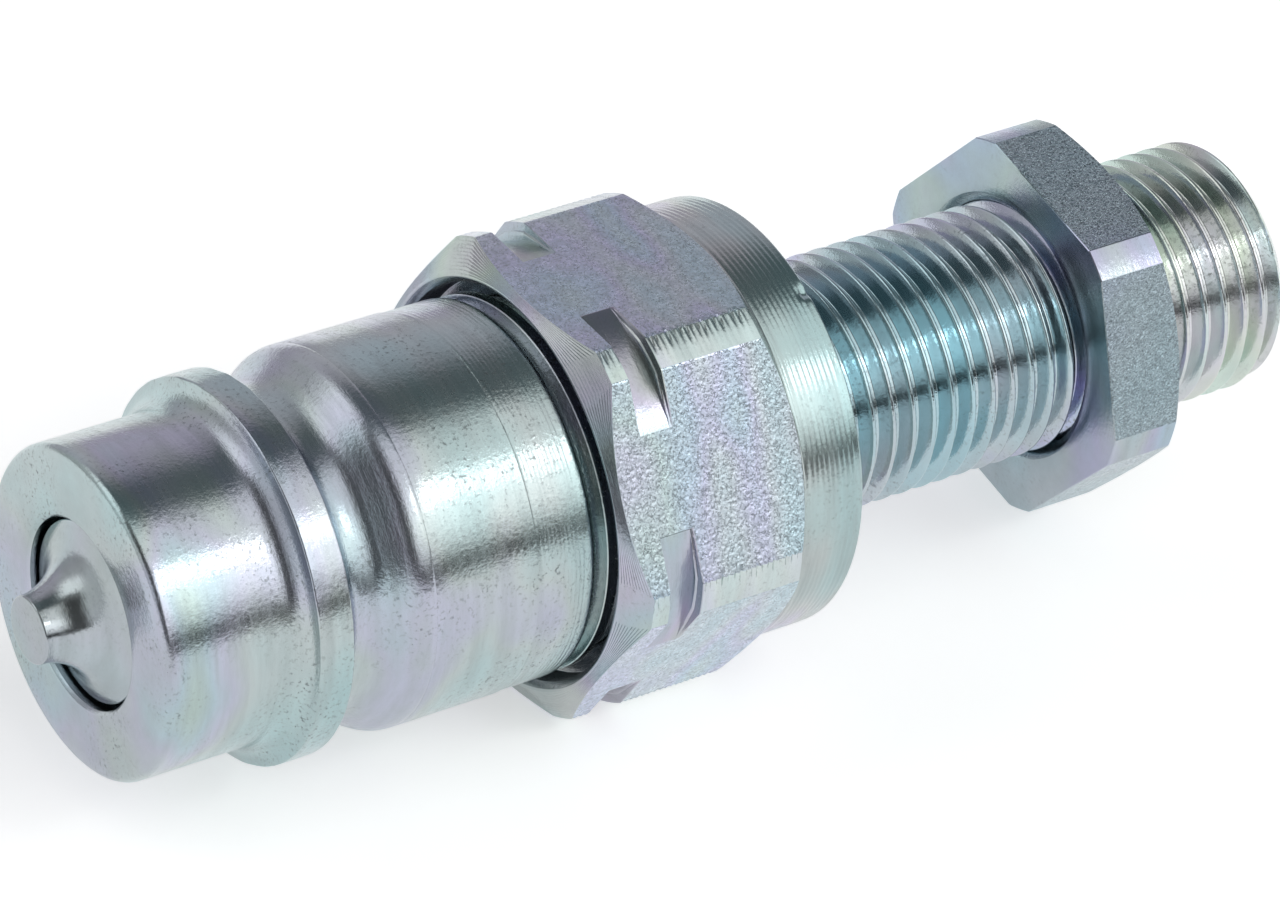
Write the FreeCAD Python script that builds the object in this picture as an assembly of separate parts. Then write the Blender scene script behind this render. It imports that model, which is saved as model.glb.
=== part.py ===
import FreeCAD, Part
import math
import os

# Quick coupling, poppet male half with a bulkhead thread and lock nut.
# Axis along X, nose towards -X, +Z up. x = 0 is the rim where the nose cylinder starts.
# All sizes are in millimetres.

V = FreeCAD.Vector

# clearances
face_gap = 0.03
run_gap = 0.05
seat_gap = 0.04

# nose body, outside
nose_r = 10.25
nose_face_x = -0.55
nose_face_r = 9.84
flange_fillet = 1.70
land_r = 11.87
land_x0 = 8.65
land_x1 = 10.95
groove_r = 9.95
shoulder_x = 16.60
barrel_r = 11.85
band_x = 23.70
band_r = 11.78
barrel_end_x = 27.95
relief_r = 11.20
relief_w = 0.60
ring_w = 0.80
tail_r = 10.98
tail_len = 9.05
tail_end_x = barrel_end_x + tail_len

# nose body, inside
mouth_r = 5.88
mouth_chamfer = 0.22
seat_x = 1.60
bore_r = 8.20
guide_x = 23.00
guide_pocket_r = 9.60

# valve
valve_travel = 5.5
tip_x = -3.88
tip_r = 2.09
flare_r = 5.60
flare_x = 0.15
head_back_x = 2.30
neck_r = 3.60
seal_t = 1.87
seal_r = 7.50
flange_r = 7.30
flange_t = 1.17
spigot_r = 1.98
spigot_len = 5.30
stem_big_r = 3.40
stop_gap = 0.30
stem_r = 2.50
stem_end = 27.50

# spring
wire_r = 0.55
spring_r = 5.40
spring_turns = 5.5
spring_points = 5
wire_sides = 8

# guide and clip
hub_r = 4.20
hub_x0 = 20.0
hub_x1 = 25.60
guide_t = 2.00
guide_ring_in = 7.30
spoke_w = 3.0
clip_t = 1.00
clip_in_r = 8.60
clip_groove_r = 10.20
clip_open_deg = 40.0

# seals between nose body and adapter
backup_t = 1.00
backup_in_r = 9.30
oring_minor = 0.90

# adapter
hex_af = 27.0
hex_corner_r = 15.0
hex_gap = 0.55
hex_front_x = barrel_end_x + hex_gap
hex_front_r = 12.95
hex_front_deg = 30.0
hex_len = 11.80
hex_back_x = hex_front_x + hex_len
hex_back_chamfer = 1.15
hex_step_x = hex_back_x + hex_back_chamfer
counterbore_r = 12.39
counterbore_depth = 2.02
counterbore_chamfer = 0.42
collar_r = 13.50
collar_len = 4.30
collar_x = hex_step_x + collar_len
collar_edge = 0.30
collar_recess_r = 8.40
collar_recess = 0.40
undercut_r = 6.90
undercut_w = 1.80
notch_from_face = 2.35
notch_x = hex_front_x + notch_from_face
notch_w = 2.20
notch_r = 13.85
thread_r = 7.98
thread_pitch = 1.50
thread_root_r = 7.06
thread_crest_flat = 0.20
thread_root_flat = 0.30
tail_thread_len = 36.65
rear_x = collar_x + tail_thread_len
rear_chamfer = 0.65
flow_r = 4.00
tube_r = 5.05
tube_stop_depth = 7.00
cone_mouth_r = 6.15
cone_half_deg = 12.0

# lock nut
nut_af = 22.0
nut_corner_r = 12.16
nut_distance = 20.28
nut_x0 = collar_x + nut_distance
nut_t = 5.70
nut_face_r = 10.45
nut_turn_deg = 20.7
nut_sink_r = 8.62


def lathe(steps):
    """Solid of revolution about X from (x, r) corners; a step ('arc', mid, end) is an arc."""
    edges = []
    here = steps[0]
    for step in steps[1:] + [steps[0]]:
        if step[0] == "arc":
            mid, end = step[1], step[2]
            arc = Part.Arc(V(here[0], 0, here[1]), V(mid[0], 0, mid[1]), V(end[0], 0, end[1]))
            edges.append(arc.toShape())
            here = end
        else:
            edges.append(Part.makeLine(V(here[0], 0, here[1]), V(step[0], 0, step[1])))
            here = step
    face = Part.Face(Part.Wire(edges))
    return face.revolve(V(0, 0, 0), V(1, 0, 0), 360)


def hex_prism(af, x0, x1, turn_deg):
    """Hexagonal bar along X with a flat's normal at turn_deg above -Y."""
    rc = af / 2 / math.cos(math.radians(30))
    pts = []
    for k in range(7):
        a = math.radians(turn_deg + 30 + 60 * k)
        pts.append(V(x0, -rc * math.cos(a), rc * math.sin(a)))
    return Part.Face(Part.makePolygon(pts)).extrude(V(x1 - x0, 0, 0))


def turned_box(x0, x1, r0, r1, half_w, deg):
    """Block from r0 to r1 along a radial direction deg above -Y."""
    box = Part.makeBox(x1 - x0, 2 * half_w, r1 - r0, V(x0, -half_w, r0))
    box.rotate(V(0, 0, 0), V(1, 0, 0), 90 - deg)
    return box


def cylinder(r, x0, x1):
    return Part.makeCylinder(r, x1 - x0, V(x0, 0, 0), V(1, 0, 0))


def quarter(cx, cr, radius, deg):
    """Point on a circle in the profile plane."""
    a = math.radians(deg)
    return (cx + radius * math.cos(a), cr + radius * math.sin(a))


def make_nose_body():
    fx = land_x0 - flange_fillet
    fr = nose_r + flange_fillet
    ring_x = barrel_end_x + relief_w
    end = tail_end_x
    cone_x = seat_x + bore_r - mouth_r
    clip_x0 = guide_x + face_gap + guide_t
    clip_x1 = clip_x0 + clip_t + 2 * face_gap
    steps = [
        (nose_face_x, mouth_r + mouth_chamfer),
        (nose_face_x, nose_face_r),
        ("arc", (-0.406, 10.082), (0.0, nose_r)),
        (fx, nose_r),
        ("arc", quarter(fx, fr, flange_fillet, -45), quarter(fx, fr, flange_fillet, -6)),
        (land_x0 + 0.12, land_r),
        (land_x1 - 0.15, land_r),
        (land_x1, land_r - 0.15),
        (land_x1 + 0.35, groove_r + 0.85),
        ("arc", (land_x1 + 0.85, groove_r + 0.22), (land_x1 + 1.75, groove_r)),
        ("arc", (13.50, groove_r + 0.15), (14.20, groove_r + 0.60)),
        (15.20, barrel_r - 0.55),
        ("arc", (15.85, barrel_r - 0.13), (shoulder_x, barrel_r)),
        (band_x, barrel_r),
        (band_x + 0.10, band_r),
        (barrel_end_x - 0.75, band_r),
        ("arc", (barrel_end_x - 0.20, band_r - 0.20), (barrel_end_x, relief_r)),
        (ring_x, relief_r),
        (ring_x, band_r - 0.10),
        (ring_x + ring_w, band_r - 0.10),
        (ring_x + ring_w, tail_r),
        (end - 0.60, tail_r),
        (end, tail_r - 0.60),
        (end, guide_pocket_r),
        (clip_x1, guide_pocket_r),
        (clip_x1, clip_groove_r),
        (clip_x0, clip_groove_r),
        (clip_x0, guide_pocket_r),
        (guide_x, guide_pocket_r),
        (guide_x, bore_r),
        (cone_x, bore_r),
        (seat_x, mouth_r),
        (nose_face_x + mouth_chamfer, mouth_r),
    ]
    return lathe(steps)


def make_poppet_head():
    cone_start = seat_x - (mouth_r - flare_r) + seat_gap * math.sqrt(2)
    back = head_back_x + seal_t + 2 * face_gap
    steps = [
        (tip_x, 0.0),
        (tip_x, tip_r - 0.15),
        (tip_x + 0.15, tip_r),
        (tip_x + 1.05, tip_r + 0.04),
        ("arc", (tip_x + 2.45, tip_r + 0.80), (-0.22, 4.75)),
        (flare_x - 0.08, flare_r - 0.10),
        (flare_x, flare_r),
        (cone_start, flare_r),
        (head_back_x, flare_r + head_back_x - cone_start),
        (head_back_x, neck_r),
        (back, neck_r),
        (back, spigot_r),
        (back + spigot_len, spigot_r),
        (back + spigot_len, 0.0),
    ]
    return lathe(steps)


def make_poppet_seal():
    x0 = head_back_x + face_gap
    r0 = mouth_r + x0 - seat_x - seat_gap * math.sqrt(2)
    steps = [
        (x0, neck_r + face_gap),
        (x0, r0),
        (x0 + seal_r - r0, seal_r),
        (x0 + seal_t, seal_r),
        (x0 + seal_t, neck_r + face_gap),
    ]
    return lathe(steps)


def make_valve_stem():
    x0 = head_back_x + seal_t + 3 * face_gap
    hole = spigot_r + face_gap
    hole_end = x0 + spigot_len + 0.1
    stop_x = hub_x0 - valve_travel - stop_gap
    steps = [
        (x0, hole),
        (x0, flange_r - 0.2),
        (x0 + 0.2, flange_r),
        (x0 + flange_t, flange_r),
        (x0 + flange_t, stem_big_r),
        (stop_x, stem_big_r),
        (stop_x, stem_r),
        (stem_end - 0.5, stem_r),
        (stem_end, stem_r - 0.5),
        (stem_end, 0.0),
        (hole_end + 0.8, 0.0),
        (hole_end, hole),
    ]
    return lathe(steps)


def make_valve_spring():
    x0 = head_back_x + seal_t + flange_t + 4 * face_gap
    x1 = guide_x
    length = x1 - x0
    closed = 2.0 * wire_r * 1.02
    turns = spring_turns
    open_pitch = (length - 2 * closed) / (turns - 2)
    pts = []
    count = int(turns * spring_points)
    for k in range(count + 1):
        t = turns * k / count
        if t < 1:
            x = closed * t
        elif t > turns - 1:
            x = length - closed * (turns - t)
        else:
            x = closed + open_pitch * (t - 1)
        a = 2 * math.pi * t
        pts.append(V(x0 + x, spring_r * math.cos(a), spring_r * math.sin(a)))
    path = Part.BSplineCurve()
    path.interpolate(pts)
    path = Part.Wire(path.toShape())
    tangent = path.Edges[0].tangentAt(path.Edges[0].FirstParameter)
    out = V(0, 1, 0)
    side = tangent.cross(out)
    # the flat-sided section has the round wire's area and keeps the coil light
    size = wire_r / math.sqrt(math.cos(math.pi / wire_sides))
    section = []
    for k in range(wire_sides):
        a = 2 * math.pi * (k + 0.5) / wire_sides
        section.append(pts[0].add(out * (size * math.cos(a))).add(side * (size * math.sin(a))))
    pipe = Part.BRepOffsetAPI.MakePipeShell(path)
    pipe.setFrenetMode(True)
    pipe.add(Part.makePolygon(section + section[:1]))
    pipe.build()
    pipe.makeSolid()
    slab = cylinder(spring_r + 2 * wire_r, x0, x1)
    return pipe.shape().common(slab)


def make_valve_guide():
    x0 = guide_x + face_gap
    ring = cylinder(guide_pocket_r - run_gap, x0, x0 + guide_t)
    ring = ring.cut(cylinder(guide_ring_in, x0 - 1, x0 + guide_t + 1))
    body = ring.fuse(cylinder(hub_r, hub_x0, hub_x1))
    for k in range(3):
        spoke = turned_box(x0, x0 + guide_t, 0, guide_ring_in + 0.5, spoke_w / 2, 90 + 120 * k)
        body = body.fuse(spoke)
    body = body.cut(cylinder(stem_r + run_gap, hub_x0 - 1, hub_x1 + 1))
    return body.removeSplitter()


def make_guide_clip():
    x0 = guide_x + 2 * face_gap + guide_t
    outer = cylinder(clip_groove_r - run_gap, x0, x0 + clip_t)
    clip = outer.cut(cylinder(clip_in_r, x0 - 1, x0 + clip_t + 1))
    half = clip_groove_r * math.tan(math.radians(clip_open_deg / 2))
    return clip.cut(turned_box(x0 - 1, x0 + clip_t + 1, 0, 20, half, -90))


def seal_floor_x():
    return tail_end_x + backup_t + 2 * oring_minor + 3 * face_gap


def make_backup_ring():
    x0 = tail_end_x + face_gap
    ring = cylinder(tail_r, x0, x0 + backup_t)
    return ring.cut(cylinder(backup_in_r, x0 - 1, x0 + backup_t + 1))


def make_body_oring():
    x = tail_end_x + 2 * face_gap + backup_t + oring_minor
    return Part.makeTorus(tail_r - oring_minor, oring_minor, V(x, 0, 0), V(1, 0, 0))


def make_notch_cutter():
    """Ring left by a turned groove, which cuts the six corners and spares the flats."""
    disc = cylinder(2 * hex_corner_r, notch_x, notch_x + notch_w)
    return disc.cut(cylinder(notch_r, notch_x - 1, notch_x + notch_w + 1))


def make_thread():
    """Right-hand thread: a ridge swept along a helix on its core, trimmed by the turned outline."""
    x0 = collar_x + undercut_w - thread_r + undercut_r
    start_x = x0 - thread_pitch
    turns = math.ceil((rear_x - start_x) / thread_pitch) + 1
    helix = Part.makeLongHelix(thread_pitch, thread_pitch * turns, thread_root_r, 0, False)
    helix.rotate(V(0, 0, 0), V(0, 1, 0), 90)
    helix.translate(V(start_x, 0, 0))
    first = helix.Edges[0].valueAt(helix.Edges[0].FirstParameter)
    out = V(0, first.y, first.z).normalize()
    foot = 0.12
    tip = 0.10
    rise = thread_r - thread_root_r
    top = thread_crest_flat / 2
    low = (thread_pitch - thread_root_flat) / 2
    flank = (low - top) / rise
    corners = [
        (-low - foot * flank, thread_root_r - foot),
        (-top + tip * flank, thread_r + tip),
        (top - tip * flank, thread_r + tip),
        (low + foot * flank, thread_root_r - foot),
    ]
    points = []
    for dx, r in corners + corners[:1]:
        points.append(V(first.x + dx, 0, 0).add(V(out.x * r, out.y * r, out.z * r)))
    pipe = Part.BRepOffsetAPI.MakePipeShell(Part.Wire(helix.Edges))
    pipe.setFrenetMode(True)
    pipe.add(Part.makePolygon(points))
    pipe.build()
    pipe.makeSolid()
    core = cylinder(thread_root_r, x0 - 2, rear_x + 2)
    envelope = lathe([
        (x0, 0.0),
        (x0, undercut_r),
        (collar_x + undercut_w, thread_r),
        (rear_x - rear_chamfer, thread_r),
        (rear_x, thread_r - rear_chamfer),
        (rear_x, 0.0),
    ])
    return core.fuse(pipe.shape()).common(envelope)


def make_hex_adapter():
    chamfer = (hex_corner_r - hex_front_r) * math.tan(math.radians(hex_front_deg))
    outline = lathe([
        (hex_front_x, 0.0),
        (hex_front_x, hex_front_r),
        (hex_front_x + chamfer, hex_corner_r),
        (hex_back_x, hex_corner_r),
        (hex_step_x, collar_r),
        (hex_step_x + 0.35, 0.0),
    ])
    head = outline.common(hex_prism(hex_af, hex_front_x - 1, hex_step_x + 2, 30))
    head = head.cut(make_notch_cutter())
    rear = lathe([
        (hex_step_x - 1.5, 0.0),
        (hex_step_x - 1.5, collar_r - 0.4),
        (hex_step_x, collar_r),
        (collar_x - collar_edge, collar_r),
        (collar_x, collar_r - collar_edge),
        (collar_x, collar_recess_r),
        (collar_x - collar_recess, undercut_r),
        (rear_x - 2, undercut_r),
        (rear_x - 2, 0.0),
    ])
    cone_len = (cone_mouth_r - tube_r) / math.tan(math.radians(cone_half_deg))
    stop_x = rear_x - tube_stop_depth
    floor_x = seal_floor_x()
    bottom_x = hex_front_x + counterbore_depth
    inside = lathe([
        (hex_front_x - 1, 0.0),
        (hex_front_x - 1, counterbore_r + counterbore_chamfer),
        (hex_front_x, counterbore_r + counterbore_chamfer),
        (hex_front_x + counterbore_chamfer, counterbore_r),
        (bottom_x, counterbore_r),
        (bottom_x + 0.5, tail_r + face_gap),
        (floor_x, tail_r + face_gap),
        (floor_x, backup_in_r),
        (floor_x + 3.2, flow_r),
        (stop_x, flow_r),
        (stop_x, tube_r),
        (rear_x - cone_len, tube_r),
        (rear_x, cone_mouth_r),
        (rear_x + 1, cone_mouth_r),
        (rear_x + 1, 0.0),
    ])
    return head.fuse(rear).cut(inside).removeSplitter().fuse(make_thread().cut(inside))


def make_lock_nut():
    x1 = nut_x0 + nut_t
    drop = (nut_corner_r - nut_face_r) * math.tan(math.radians(30))
    bore = thread_r + run_gap
    sink = nut_sink_r - bore
    ring = lathe([
        (nut_x0, nut_sink_r),
        (nut_x0, nut_corner_r),
        (x1 - drop, nut_corner_r),
        (x1, nut_face_r),
        (x1, nut_sink_r),
        (x1 - sink, bore),
        (nut_x0 + sink, bore),
    ])
    return ring.common(hex_prism(nut_af, nut_x0 - 1, x1 + 1, nut_turn_deg))


pieces = {
    "nose_body": make_nose_body,
    "poppet_head": make_poppet_head,
    "poppet_seal": make_poppet_seal,
    "valve_stem": make_valve_stem,
    "valve_spring": make_valve_spring,
    "valve_guide": make_valve_guide,
    "guide_clip": make_guide_clip,
    "body_oring": make_body_oring,
    "backup_ring": make_backup_ring,
    "hex_adapter": make_hex_adapter,
    "lock_nut": make_lock_nut,
}

os.makedirs("parts", exist_ok=True)
for name, make in pieces.items():
    solid = make()
    if len(solid.Solids) != 1 or not solid.isValid():
        raise ValueError(name + " is not one valid solid")
    solid.Solids[0].exportStep("parts/" + name + ".step")
    print(name, round(solid.Volume, 2), round(solid.BoundBox.XMin, 3), round(solid.BoundBox.XMax, 3))
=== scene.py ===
import math

import bmesh
import bpy
import numpy as np
from bpy.props import FloatProperty, FloatVectorProperty, IntProperty, PointerProperty
from bpy.types import Operator, Panel, PropertyGroup
from mathutils import Matrix, Vector


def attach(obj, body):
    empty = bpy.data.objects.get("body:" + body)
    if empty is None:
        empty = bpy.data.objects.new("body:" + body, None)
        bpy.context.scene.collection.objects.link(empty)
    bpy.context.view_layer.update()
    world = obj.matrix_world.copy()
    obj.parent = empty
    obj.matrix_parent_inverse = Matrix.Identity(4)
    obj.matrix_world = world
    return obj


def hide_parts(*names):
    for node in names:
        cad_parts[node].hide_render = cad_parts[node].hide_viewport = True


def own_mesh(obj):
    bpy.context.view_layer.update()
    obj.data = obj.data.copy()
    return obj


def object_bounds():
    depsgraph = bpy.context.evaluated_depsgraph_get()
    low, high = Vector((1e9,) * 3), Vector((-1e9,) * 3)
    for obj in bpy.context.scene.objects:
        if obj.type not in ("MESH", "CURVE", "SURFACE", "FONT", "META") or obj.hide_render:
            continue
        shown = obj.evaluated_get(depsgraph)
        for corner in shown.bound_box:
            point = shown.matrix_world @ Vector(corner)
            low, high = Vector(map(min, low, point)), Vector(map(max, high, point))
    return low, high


bl_info = {
    "name": "Quick coupling dressing",
    "version": (1, 0, 0),
    "blender": (4, 5, 0),
    "location": "View3D > Sidebar > Coupling",
    "description": "Builds the visible surfaces and finishes of a bulkhead quick coupling",
    "category": "Object",
}

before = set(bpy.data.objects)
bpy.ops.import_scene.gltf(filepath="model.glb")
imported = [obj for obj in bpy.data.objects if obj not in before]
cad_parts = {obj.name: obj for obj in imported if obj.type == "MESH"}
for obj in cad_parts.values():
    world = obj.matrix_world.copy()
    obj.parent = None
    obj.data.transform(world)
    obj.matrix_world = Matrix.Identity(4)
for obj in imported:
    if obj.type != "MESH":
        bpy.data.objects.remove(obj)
START_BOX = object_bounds()
MM = 0.001
FULL_TURN = 2 * math.pi
MERGE_DISTANCE = 2e-7
SHARP_ANGLE = math.radians(32)

# Sizes in millimetres, after the source model, with X measured from the rim of the nose.
# Nose body, outside
NOSE_R = 10.25
FACE_X = -0.55
FACE_R = 9.84
FILLET = 1.70
LAND_R = 11.87
LAND_X0 = 8.65
LAND_X1 = 10.95
GROOVE_R = 9.95
SHOULDER_X = 16.60
BARREL_R = 11.85
BAND_X = 23.70
BAND_R = 11.78
BARREL_END = 27.95
RELIEF_R = 11.20
RING_X0 = 28.55
RING_X1 = 29.35
RING_R = 11.68
TAIL_R = 10.98
TAIL_X = 37.00
# Nose body, inside
MOUTH_R = 5.88
SEAT_X = 1.60
CHAMBER_X = 3.92
CHAMBER_R = 8.20
POCKET_X = 23.00
POCKET_R = 9.60
CLIP_X0 = 25.03
CLIP_X1 = 26.09
CLIP_R = 10.20
# Valve head
TIP_X = -3.88
TIP_R = 2.09
FLARE_X = 0.15
FLARE_R = 5.60
HEAD_X = 2.30
NECK_R = 3.60
NECK_X = 4.23
SPIGOT_R = 1.98
SPIGOT_X = 9.53
# Hexagon and collar
HEX_FRONT = 28.50
HEX_FRONT_R = 12.95
HEX_FLAT = 13.5
HEX_CORNER = 15.0
HEX_TURN = 30
HEX_BACK = 40.30
STEP_X = 41.45
COLLAR_R = 13.50
COLLAR_X = 45.75
RECESS_R = 8.40
NOTCH_X = 30.85
NOTCH_W = 2.20
NOTCH_R = 13.85
COUNTERBORE_R = 12.39
SOCKET_X = 30.52
SOCKET_R = 11.01
UNDERCUT_X = 45.35
UNDERCUT_R = 6.90
# Thread and tube end
THREAD_LEAD = 0.72
THREAD_FLAT = 0.20
THREAD_ROOT_FLAT = 0.30
THREAD_CREST_ROUND = 0.17
THREAD_ROOT_ROUND = 0.15
REAR_X = 82.40
REAR_CHAMFER = 0.65
CONE_R = 6.15
TUBE_X0 = 75.40
TUBE_X1 = 77.23
TUBE_R = 5.05
FLOW_R = 4.00
# Lock nut
NUT_X0 = 66.03
NUT_X1 = 71.73
NUT_FLAT = 11.0
NUT_CORNER = 12.16
NUT_FACE_R = 10.45
NUT_TURN = 20.7
NUT_BORE = 8.03
NUT_GROOVE = 8.42
NUT_GROOVE_STEP = 1.125
NUT_SINK = 8.66
NUT_SINK_DEPTH = 0.45
NUT_EDGE = 0.06

# Tool marks, wear and a nick
BAND_LINE_STEP = 0.07
BAND_LINE_DEPTH = 0.006
COLLAR_LINE_STEP = 0.09
COLLAR_LINE_DEPTH = 0.017
FRONT_ROWS = 32
RIDGE_HEIGHT = 0.014
COMB_STEP = 0.41
COMB_DEPTH = 0.016
COMB_BITE = 0.11
WEAR_DEPTH = 0.018
WEAR_RIPPLE = 0.014
NICK_X = 45.5
NICK_DEG = 66
NICK_DEPTH = 0.22

# Slope of the turned cones on both hexagons: their faces stand thirty degrees off the end face.
CONE_SLOPE = math.tan(math.radians(30))

# Relief of the finishes in metres; that of the pits is a share of their size.
RING_RELIEF = 0.00002
GRAIN_RELIEF = 0.000009
SPECK_RELIEF = 0.000010
PIT_RELIEF = 0.2
PLAIN_RELIEF = 0.00004

# Film colours: place in the noise, then factors of the plate's red, green and blue.
FILMS = (
    (0.34, 0.76, 0.99, 1.00), (0.42, 0.88, 1.02, 1.01), (0.48, 1.02, 0.99, 0.97),
    (0.53, 1.02, 0.88, 1.10), (0.58, 0.86, 0.97, 1.08), (0.64, 0.92, 1.02, 0.90),
    (0.70, 1.02, 0.90, 1.00),
)

# Inner pieces: finish name, colour, roughness, metal, grain and second colour.
INNER_FINISHES = {
    "poppet_seal": ("seal rubber", (0.03, 0.03, 0.032), 0.5, 0, 900, (0.05, 0.05, 0.05)),
    "body_oring": ("ring rubber", (0.028, 0.028, 0.03), 0.42, 0, 1100, (0.045, 0.045, 0.045)),
    "backup_ring": ("ring plastic", (0.86, 0.86, 0.83), 0.4, 0, 700, (0.78, 0.78, 0.75)),
    "valve_stem": ("stem steel", (0.62, 0.63, 0.65), 0.28, 1, 600, (0.5, 0.5, 0.52)),
    "valve_guide": ("guide steel", (0.58, 0.6, 0.62), 0.35, 1, 500, (0.46, 0.47, 0.48)),
    "guide_clip": ("clip steel", (0.25, 0.25, 0.27), 0.35, 1, 1200, (0.16, 0.16, 0.17)),
}
WIRE_FINISH = ("drawn wire", (0.40, 0.40, 0.42), 0.3, 1, 1500, (0.3, 0.3, 0.31))

# Stage, in metres
CAMERA_PLACE = (-0.186963, -0.290094, 0.264057)
SENSOR_WIDTH = 36
FLOOR_HALF = 2.0
FLOOR_GAP = 0.0002
KEY_SIZE = (0.30, 0.10)
KEY_PLACE = (0.35, -0.55, 0.62)
KEY_AIM = (0.04, 0, 0)

# Light of the room by angle round X in degrees: 0 is the level towards -Y and 90 is straight up.
ROOM_LIGHT = (
    (-180, 0.5), (-4, 0.3), (-1, 0.04), (9, 0.05), (13.5, 1.0), (22, 1.3), (30, 1.85),
    (42, 1.85), (52, 1.25), (66, 1.15), (76, 1.15), (85, 0.9), (91, 0.15), (118, 0.15),
    (128, 0.40), (142, 0.58), (160, 0.62), (180, 0.48),
)
NOSE_SIDE_LIGHT = (
    (-180, 0.5), (-6, 0.5), (0, 0.12), (84, 0.09), (98, 0.3), (108, 1.3), (132, 1.3),
    (146, 0.6), (180, 0.5),
)
AHEAD_COLOUR = (0.72, 0.74, 0.75)


# Surfaces

def rounded(corners, steps):
    """Open profile through corners (x, r, radius): each inner corner is cut back by radius times
    the tangent of half its turn and replaced by a circular arc through steps + 1 points."""
    c = np.array(corners, float)
    last = len(c) - 1
    out = []
    for i in range(len(c)):
        p, rad = c[i, :2], c[i, 2]
        if rad <= 0 or i in (0, last):
            out.append(p[None])
            continue
        a, b = c[i - 1, :2] - p, c[i + 1, :2] - p
        la, lb = np.linalg.norm(a), np.linalg.norm(b)
        a, b = a / la, b / lb
        half = math.acos(float(np.clip(a @ b, -1, 1))) / 2
        cut = min(rad / math.tan(half), 0.49 * la, 0.49 * lb)
        rad = cut * math.tan(half)
        mid = a + b
        centre = p + mid / np.linalg.norm(mid) * rad / math.sin(half)
        s, e = p + a * cut - centre, p + b * cut - centre
        t = np.linspace(0, 1, steps + 1)[:, None]
        turn = math.pi - 2 * half
        arc = (np.sin((1 - t) * turn) * s + np.sin(t * turn) * e) / math.sin(turn)
        out.append(centre + arc)
    return np.concatenate(out)


def traced(steps, parts=9):
    """Profile through steps (x, r); a step ("arc", mid, end) is the circle through the last
    point, mid and end, with centre from w = (end - here) / (mid - here) in the complex plane."""
    out = [complex(*steps[0])]
    for step in steps[1:]:
        if step[0] != "arc":
            out.append(complex(*step))
            continue
        a, b, c = out[-1], complex(*step[1]), complex(*step[2])
        w = (c - a) / (b - a)
        centre = a - (a - b) * (w - abs(w) ** 2) / (2j * w.imag)
        full = np.angle((c - centre) / (a - centre)) % FULL_TURN
        if np.angle((b - centre) / (a - centre)) % FULL_TURN > full:
            full -= FULL_TURN
        out.extend(centre + (a - centre) * np.exp(1j * full * np.arange(1, parts + 1) / parts))
    z = np.array(out)
    return np.stack([z.real, z.imag], -1)


def divided(profile, longest, closed=True):
    """The same profile with extra points, so no run is longer than the given length."""
    p = np.vstack([profile, profile[:1]]) if closed else profile
    out = []
    for a, b in zip(p[:-1], p[1:]):
        n = max(1, int(math.ceil(np.linalg.norm(b - a) / longest)))
        out.append(a + (b - a) * (np.arange(n) / n)[:, None])
    if not closed:
        out.append(p[-1:])
    return np.concatenate(out)


def tool_lines(start, end, step, level, depth):
    """Turned grooves: the k-th point has radius level - depth * (1 - cos(pi k / 2)), so that
    four points make a groove and each of its sides is seen."""
    return [(x, level - depth * (1 - math.cos(math.pi * k / 2)))
            for k, x in enumerate(np.arange(start, end, step))]


def ripple(theta, seed, count=7):
    """Sum of sines round the axis with seeded phases, mostly between -1 and 1."""
    rng = np.random.default_rng(seed)
    k = rng.integers(2, 40, count)
    phase = rng.uniform(0, 6.283, count)
    return np.sin(np.multiply.outer(theta, k) + phase).sum(-1) / math.sqrt(count)


def revolved(profile, count):
    """Grid of a surface of revolution: each point of the profile at count angles."""
    theta = np.broadcast_to(np.arange(count) * FULL_TURN / count, (len(profile), count))
    return np.repeat(profile[:, :1], count, 1), np.repeat(profile[:, 1:], count, 1), theta


def tube_mesh(name, x, r, theta, materials, zone=None, closed_rows=True, wrap=True):
    """Grid of rings: row i, column j lies at (x, -r cos theta, r sin theta). Columns wrap
    round the axis unless the last one repeats the first, and rows wrap where the profile
    is a closed loop. Zone is each face's number in the list of materials."""
    rows, cols = x.shape
    co = np.stack([x, -r * np.cos(theta), r * np.sin(theta)], -1).reshape(-1, 3) * MM
    i = np.arange(rows if closed_rows else rows - 1)[:, None]
    j = np.arange(cols if wrap else cols - 1)[None]
    i2, j2 = (i + 1) % rows, (j + 1) % cols
    quads = np.stack([i * cols + j, i * cols + j2, i2 * cols + j2, i2 * cols + j], -1)
    mesh = bpy.data.meshes.new(name)
    mesh.from_pydata(co, [], quads.reshape(-1, 4))
    for m in materials:
        mesh.materials.append(m)
    if zone is not None:
        mesh.polygons.foreach_set("material_index", zone.reshape(-1).astype(np.int32))
    bm = bmesh.new()
    bm.from_mesh(mesh)
    bmesh.ops.remove_doubles(bm, verts=bm.verts, dist=MERGE_DISTANCE)
    bmesh.ops.dissolve_degenerate(bm, edges=bm.edges, dist=MERGE_DISTANCE / 2)
    bmesh.ops.recalc_face_normals(bm, faces=bm.faces)
    bm.to_mesh(mesh)
    bm.free()
    mesh.polygons.foreach_set("use_smooth", np.ones(len(mesh.polygons), bool))
    mesh.set_sharp_from_angle(angle=SHARP_ANGLE)
    return linked(name, mesh)


def linked(name, data):
    """A new object in the scene, at the origin, unturned and unscaled."""
    obj = bpy.data.objects.new(name, data)
    bpy.context.scene.collection.objects.link(obj)
    return obj


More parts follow.
